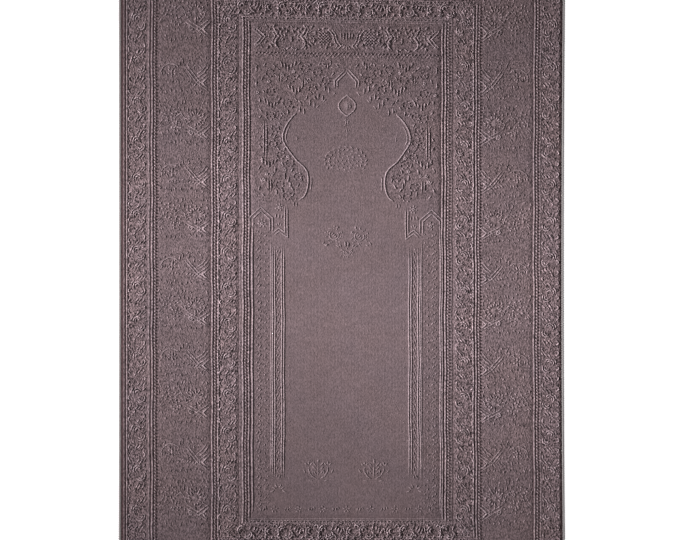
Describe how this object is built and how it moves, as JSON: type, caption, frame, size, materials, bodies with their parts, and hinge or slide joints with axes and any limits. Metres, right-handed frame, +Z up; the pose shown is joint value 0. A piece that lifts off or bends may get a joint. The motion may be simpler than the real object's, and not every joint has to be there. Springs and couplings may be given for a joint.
{
  "type": "prayer rug",
  "caption": "Flat prayer rug of short velvet pile, with a raised niche, columns and flowered borders, bound along its edges with stitched yarn.",
  "frame": {"origin": "middle of the rug's flat underside, on the floor", "axes": "+Y along the rug's length towards the point of the niche, +X to the right seen from above, +Z up"},
  "size_m": [0.7, 1.1, 0.0053],
  "materials": {
    "pile": "short dusty-mauve velvet pile, matt with a soft sheen, its pattern raised in the pile",
    "binding": "light grey overlocked yarn"
  },
  "bodies": {
    "root": {"rug_body": "pile", "binding_left": "binding", "binding_right": "binding", "binding_top": "binding", "binding_bottom": "binding"}
  },
  "joints": []
}
